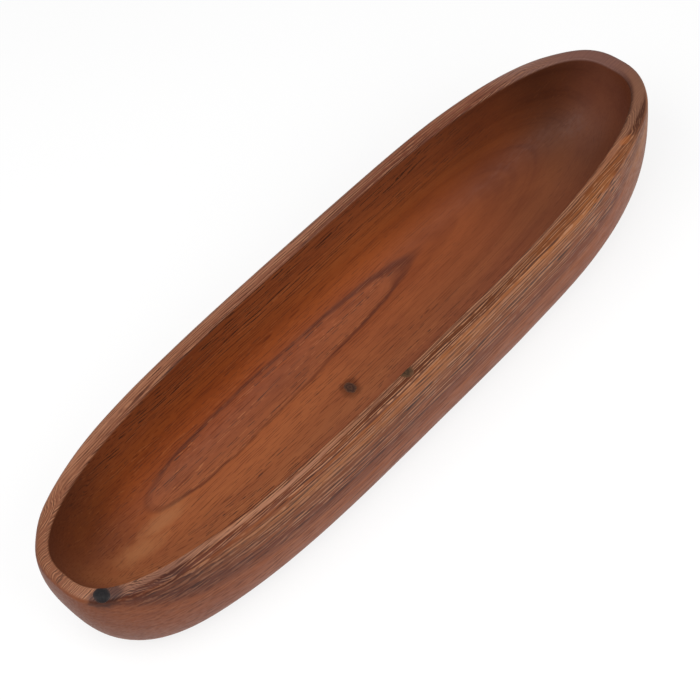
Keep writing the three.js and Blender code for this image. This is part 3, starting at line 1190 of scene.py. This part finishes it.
@dataclass
class BowlBody:
    """The carved block: flat base, round turn, faint belly, level rounded rim and dished hollow.

    Sizes in threes are for the left end, the right end and the sides.
    """

    name: str = "bowl_body_carved"
    base: Level = Level(218.3, 223.3, 47.9, 0.0, 3.1)
    rim: Level = Level(252.6, 253.6, 68.2, 80.0, 2.9)
    hollow: Level = Level(245.2, 243.6, 57.6, 80.0, 2.74)
    turn: Triple = (19.6, 18.0, 21.0)
    belly: Triple = (5.5, -2.0, 2.7)
    belly_height: float = 40.0
    dish: Triple = (182.5, 182.5, 35.5)
    floor_thickness: float = 12.0
    hollow_turn_height: float = 4.0
    outer_round: float = 4.0
    inner_round: float = 1.2
    flat_line: float = 0.6
    points: int = 240
    bend_weight: float = 25.0
    outer_steps: int = 22
    hollow_steps: int = 38
    round_steps: int = 5
    carving: tuple[Carved, ...] = (
        Carved(place=0.0, reach=31.0, proud=2.2),
        Carved(place=22.0, reach=25.0, proud=-1.9),
        Carved(place=63.0, reach=24.0, proud=0.9),
        Carved(place=124.0, reach=24.0, proud=1.4),
        Carved(place=160.0, reach=14.0, proud=-1.2),
        Carved(place=183.0, reach=14.0, proud=0.5),
        Carved(place=204.0, reach=16.0, proud=-0.5),
        Carved(place=297.0, reach=22.0, proud=1.5),
        Carved(place=346.0, reach=17.0, proud=-1.7),
    )
    carving_rise: float = 25.0
    sanding: float = 0.7
    sanding_length: float = 70.0
    base_band: float = 0.15
    piece: Piece = field(init=False)

    def outer_levels(self) -> list[Level]:
        """Gives the outside from the base up to the rim's plane.

        Returns:
            The levels in order.
        """
        top = self.rim.height - self.outer_round
        sizes = zip(self.base.reach(), self.turn, self.belly, self.rim.reach())
        sections = [Section(base, base + turn, rim + belly, rim) for base, turn, belly, rim in sizes]
        rise = Section(0.0, 0.0, self.belly_height, top)
        levels = []
        for step in range(1, self.outer_steps + 1):
            t = step / self.outer_steps
            height = rise.at(t)
            fullness = self.base.fullness + (self.rim.fullness - self.base.fullness) * height / top
            levels.append(Level(*(section.at(t) for section in sections), height, fullness))
        for step in range(1, self.round_steps + 1):
            angle = math.pi / 2 * step / self.round_steps
            shift = self.outer_round * (1 - math.cos(angle))
            levels.append(self.rim.moved(shift, top + self.outer_round * math.sin(angle)))
        return levels

    def hollow_levels(self) -> list[Level]:
        """Gives the rim's flat, its inner edge and the hollow down to the middle of the floor.

        Returns:
            The levels in order.
        """
        top = self.hollow.height - self.inner_round
        low = self.floor_thickness
        levels = [self.rim.mixed(self.hollow, self.flat_line)]
        for step in range(self.round_steps):
            angle = math.pi / 2 * (1 - step / self.round_steps)
            shift = self.inner_round * (math.cos(angle) - 1)
            levels.append(self.hollow.moved(shift, top + self.inner_round * math.sin(angle)))
        sections = [Section(0.0, dish, wall, wall) for dish, wall in zip(self.dish, self.hollow.reach())]
        rise = Section(low, low, low + self.hollow_turn_height, top)
        for step in range(self.hollow_steps):
            t = 1 - step / self.hollow_steps
            sizes = (section.at(t) for section in sections)
            levels.append(Level(*sizes, rise.at(t), self.hollow.fullness))
        return levels

    def even_angles(self) -> list[float]:
        """Spreads points over the rim, closer together where it curves more.

        Returns:
            The oval's angle at each point, all the way round from the right end.
        """
        fine = 4000
        places = [self.rim.point(math.pi / 2 * i / fine) for i in range(fine + 1)]
        run, total, last = [0.0], 0.0, Vector((0.0, 1.0, 0.0))
        for a, b in zip(places, places[1:]):
            step = b - a
            total += step.length + self.bend_weight * (step.angle(last) if step.length > 0 else 0.0)
            last = step
            run.append(total)
        count = self.points // 4
        quarter, i = [], 0
        for k in range(count):
            while run[i] < total * k / count:
                i += 1
            quarter.append(math.pi / 2 * i / fine)
        half = quarter + [math.pi / 2] + [math.pi - angle for angle in reversed(quarter[1:])]
        return half + [math.pi + angle for angle in half]

    def carved(self, angle: float) -> float:
        """Gives how far the outside stands off its true oval at an angle from the right end."""
        return sum(place.at(math.degrees(angle)) for place in self.carving)

    def shape_level(self, level: Level, angles: Sequence[float], carving: float = 0.0) -> None:
        """Puts the selected points, which are the newest level, on to the level's oval.

        Args:
            level: The level.
            angles: The oval's angle at each point, from the right end round.
            carving: The share of the carver's departure from the oval.
        """
        shape = bmesh.from_edit_mesh(self.piece.data)
        nearly_round = math.tau - 1e-4
        turns = []
        for point in shape.verts:
            if point.select:
                turned = math.atan2(point.co.y, point.co.x) % math.tau
                turns.append((0.0 if turned > nearly_round else turned, point))
        turns.sort(key=lambda pair: pair[0])
        for (_, point), angle in zip(turns, angles):
            point.co = (level.point(angle) + level.outwards(angle) * self.carved(angle) * carving) * MM
        bmesh.update_edit_mesh(self.piece.data)

    def raise_walls(self) -> None:
        """Extrudes a filled circle level by level: up the outside, over the rim and down into the hollow."""
        angles = self.even_angles()
        Bench.clear()
        bpy.ops.mesh.primitive_circle_add(vertices=self.points, radius=self.base.side * MM, fill_type="NGON")
        self.piece = bpy.context.object
        self.piece.name = self.name
        self.piece.data.name = self.name
        Bench.open(self.piece)
        bpy.ops.mesh.select_all(action="SELECT")
        self.shape_level(self.base, angles)
        for level in self.outer_levels():
            bpy.ops.mesh.extrude_region_move()
            self.shape_level(level, angles, min(1.0, level.height / self.carving_rise))
        for level in self.hollow_levels():
            bpy.ops.mesh.extrude_region_move()
            self.shape_level(level, angles)
        bpy.ops.mesh.select_all(action="SELECT")
        bpy.ops.mesh.normals_make_consistent(inside=False)
        Bench.close()

    def sand_by_hand(self) -> None:
        """Gives the surfaces the faint unevenness of hand sanding, and trues the base again."""
        cloud = {"noise_scale": self.sanding_length * MM, "noise_depth": 1}
        Bench.roughen(self.piece, "hand_sanding", self.sanding * MM, **cloud)
        Bench.open(self.piece)
        Bench.pick_points(self.piece, lambda place: place.z < self.base_band * MM)
        bpy.ops.transform.resize(value=(1.0, 1.0, 0.0), center_override=(0.0, 0.0, 0.0))
        Bench.close()

    def build(self) -> Piece:
        """Models the carved block, before the knots are let in.

        Returns:
            The block.
        """
        self.raise_walls()
        self.sand_by_hand()
        return self.piece

    def dress(self, finish: bpy.types.Material) -> None:
        """Gives the block its finish and puts it in its node's place.

        Args:
            finish: The bowl wood's material.
        """
        Bench.coat(self.piece, finish)
        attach(self.piece, BODY)
        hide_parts("bowl_body")


@dataclass
class Knot:
    """A dead knot: the stub of a branch that points away from the pith, sitting in its seat in the block."""

    name: str
    node: str
    place: Vector
    diameter: float
    depth: float
    tree: Tree
    proud: float = 9.0
    clearance: float = 0.03
    sides: int = 48
    cuts: int = 5
    uneven: float = 0.9
    uneven_length: float = 5.0
    piece: Piece = field(init=False)

    def stub(self, clearance: float) -> Piece:
        """Models the branch's stub as an uneven cone through the knot's place.

        Args:
            clearance: How much wider and deeper it is than the knot.

        Returns:
            The stub, standing out of the block.
        """
        out = self.tree.branch(self.place)
        length = self.proud + self.depth + clearance
        spread = self.diameter / 2 / out.length
        low, high = (spread * (out.length + along) + clearance for along in (-self.depth, self.proud))
        Bench.clear()
        bpy.ops.mesh.primitive_cone_add(
            vertices=self.sides,
            radius1=low * MM,
            radius2=high * MM,
            depth=length * MM,
            location=(self.place + out.normalized() * (self.proud - length / 2)) * MM,
            rotation=(math.atan2(-out.y, out.z), 0.0, 0.0),
        )
        made = bpy.context.object
        bpy.ops.object.transform_apply(location=True, rotation=True, scale=True)
        Bench.open(made)
        bpy.ops.mesh.select_all(action="SELECT")
        bpy.ops.mesh.subdivide(number_cuts=self.cuts)
        Bench.close()
        Bench.roughen(made, self.name + "_outline", self.uneven * MM, noise_scale=self.uneven_length * MM)
        return made

    def build(self, block: Piece, whole: Piece) -> Piece:
        """Lets the knot into the block: its face is the block's own carved surface.

        Args:
            block: The block, which gets the seat.
            whole: A copy of the block without seats.

        Returns:
            The knot.
        """
        seat = self.stub(self.clearance)
        Bench.cut(block, seat, Cut.AWAY)
        Bench.discard(seat)
        self.piece = self.stub(0.0)
        self.piece.name = self.name
        self.piece.data.name = self.name
        Bench.cut(self.piece, whole, Cut.COMMON)
        return self.piece

    def dress(self, finish: KnotWood) -> None:
        """Gives the knot its finish and puts it in its node's place.

        Args:
            finish: The kind of knot wood.
        """
        out = self.tree.branch(self.place)
        Bench.coat(self.piece, finish.material(self.name + "_wood", self.place, out, self.diameter / 2))
        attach(self.piece, BODY)
        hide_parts(self.node)


@dataclass(frozen=True)
class Lamp:
    """A broad soft lamp that points at the bowl's base: its place and width in metres, and its watts."""

    name: str
    place: Triple
    width: float
    watts: float

    def hang(self) -> None:
        """Hangs the lamp in the studio."""
        Bench.clear()
        turned = (-Vector(self.place)).to_track_quat("-Z", "Y").to_euler()
        bpy.ops.object.light_add(type="AREA", location=self.place, rotation=turned)
        made = bpy.context.object
        made.name = self.name
        made.data.size = self.width
        made.data.energy = self.watts


@dataclass
class Studio:
    """A white table, soft light all round and a camera that looks down along the bowl.

    The camera's angles are in degrees, its distance and target in millimetres as on the bowl, and the
    table's size in metres.
    """

    azimuth: float = -37.1808
    elevation: float = 53.2613
    roll: float = 12.0
    distance: float = 1115.4
    target: Triple = (-13.95, 1.99, 40.3)
    lens: float = 91.46
    sensor: float = 36.0
    sky: float = 0.42
    floor_size: float = 40.0
    floor_tone: float = 0.82
    seen_floor_tone: float = 0.22
    floor_roughness: float = 0.9
    lamps: tuple[Lamp, ...] = (
        Lamp("front_lamp", (0.15, -1.2, 1.15), 1.0, 12.0),
        Lamp("top_lamp", (-0.45, -0.05, 0.95), 0.7, 6.5),
    )

    def aim(self) -> None:
        """Sets up the camera at the photograph's angle."""
        az, el, roll = (math.radians(angle) for angle in (self.azimuth, self.elevation, self.roll))
        back = Vector((math.sin(az) * math.cos(el), -math.cos(az) * math.cos(el), math.sin(el)))
        right = Vector((math.cos(az), math.sin(az), 0.0))
        up = back.cross(right)
        turned_right = right * math.cos(roll) - up * math.sin(roll)
        turned_up = right * math.sin(roll) + up * math.cos(roll)
        Bench.clear()
        bpy.ops.object.camera_add()
        camera = bpy.context.object
        camera.name = "camera"
        camera.data.lens = self.lens
        camera.data.sensor_width = self.sensor
        place = Matrix((turned_right, turned_up, back)).transposed().to_4x4()
        place.translation = (Vector(self.target) + back * self.distance) * MM
        camera.matrix_world = place
        bpy.context.scene.camera = camera

    def light(self) -> None:
        """Lights the table with an even white surround and broad lamps."""
        world = bpy.data.worlds.new("white_surround")
        bpy.context.scene.world = world
        world.use_nodes = True
        nodes = world.node_tree.nodes
        nodes.clear()
        surround = nodes.new("ShaderNodeBackground")
        surround.inputs["Color"].default_value = (1.0, 1.0, 1.0, 1.0)
        surround.inputs["Strength"].default_value = self.sky
        sky = nodes.new("ShaderNodeOutputWorld")
        world.node_tree.links.new(surround.outputs["Background"], sky.inputs["Surface"])
        for lamp in self.lamps:
            lamp.hang()

    def lay_floor(self) -> None:
        """Lays the table top, which shows white but lights the bowl as a pale table does."""
        Bench.clear()
        bpy.ops.mesh.primitive_plane_add(size=self.floor_size)
        floor = bpy.context.object
        floor.name = "table_top"
        graph = FinishGraph("white_table")
        rays = graph.node("LightPath").outputs
        seen = graph.sum("MAXIMUM", rays["Is Camera Ray"], rays["Is Glossy Ray"])
        seen = graph.sum("MAXIMUM", seen, rays["Is Transmission Ray"])
        tone = graph.lay(Blend.OVER, seen, (self.floor_tone,) * 3, (self.seen_floor_tone,) * 3)
        surface = graph.node("BsdfPrincipled")
        graph.plug(surface.inputs["Base Color"], tone)
        graph.plug(surface.inputs["Roughness"], self.floor_roughness)
        graph.plug(surface.inputs["Specular IOR Level"], 0.0)
        graph.plug(surface.inputs["Emission Color"], (1.0, 1.0, 1.0, 1.0))
        graph.plug(surface.inputs["Emission Strength"], graph.times(seen, 1.0 - self.seen_floor_tone))
        graph.plug(graph.node("OutputMaterial").inputs["Surface"], surface.outputs["BSDF"])
        floor.data.materials.append(graph.material)

    def build(self) -> None:
        """Sets up floor, light and camera, with colours shown as they are."""
        self.lay_floor()
        self.light()
        self.aim()
        bpy.context.scene.view_settings.view_transform = "Standard"


def knots(body: BowlBody, tree: Tree) -> list[tuple[Knot, KnotWood]]:
    """Lists the block's knots and the finish of each.

    Args:
        body: The carved block.
        tree: The tree that it comes from.

    Returns:
        Each knot with its finish.
    """
    branch_x = -22.7
    floor_y = -1.5
    floor_place = Vector((branch_x, floor_y, body.floor_thickness))
    rim_place = Vector((branch_x, -body.hollow.side, body.rim.height))
    end_angle = math.radians(197.5)
    end_place = (body.rim.point(end_angle) + body.hollow.point(end_angle)) / 2
    brown = KnotWood(
        heart=(0.042, 0.021, 0.009), ring=(0.066, 0.032, 0.013), edge=(0.120, 0.050, 0.022), core=0.62
    )
    blue_black = KnotWood(
        heart=(0.007, 0.006, 0.007), ring=(0.011, 0.009, 0.010), edge=(0.032, 0.020, 0.018), core=0.70
    )
    floor_knot = Knot("floor_knot_stub", "floor_knot", floor_place, diameter=7.2, depth=6.0, tree=tree)
    rim_knot = Knot("inner_rim_knot_stub", "inner_rim_knot", rim_place, diameter=9.0, depth=9.0, tree=tree)
    end_knot = Knot("end_rim_knot_stub", "end_rim_knot", end_place, diameter=9.0, depth=8.0, tree=tree)
    return [(floor_knot, KnotWood()), (rim_knot, brown), (end_knot, blue_black)]


def main() -> None:
    """Builds the bowl, its knots and the studio in order."""
    logging.basicConfig(level=logging.INFO, format="%(name)s: %(message)s")
    tree = Tree()
    body = BowlBody()
    block = body.build()
    log.info("%s: %d faces", block.name, len(block.data.polygons))
    Bench.pick(block)
    bpy.ops.object.duplicate()
    whole = bpy.context.object
    for knot, finish in knots(body, tree):
        piece = knot.build(block, whole)
        knot.dress(finish)
        log.info("%s: %d faces", piece.name, len(piece.data.polygons))
    Bench.discard(whole)
    hollow = body.hollow
    form = Form(*hollow.reach(), hollow.fullness, hollow.height)
    body.dress(BowlWood(tree, form).material())
    log.info("%s with seats: %d faces", block.name, len(block.data.polygons))
    Studio().build()


if __name__ == "__main__":
    main()
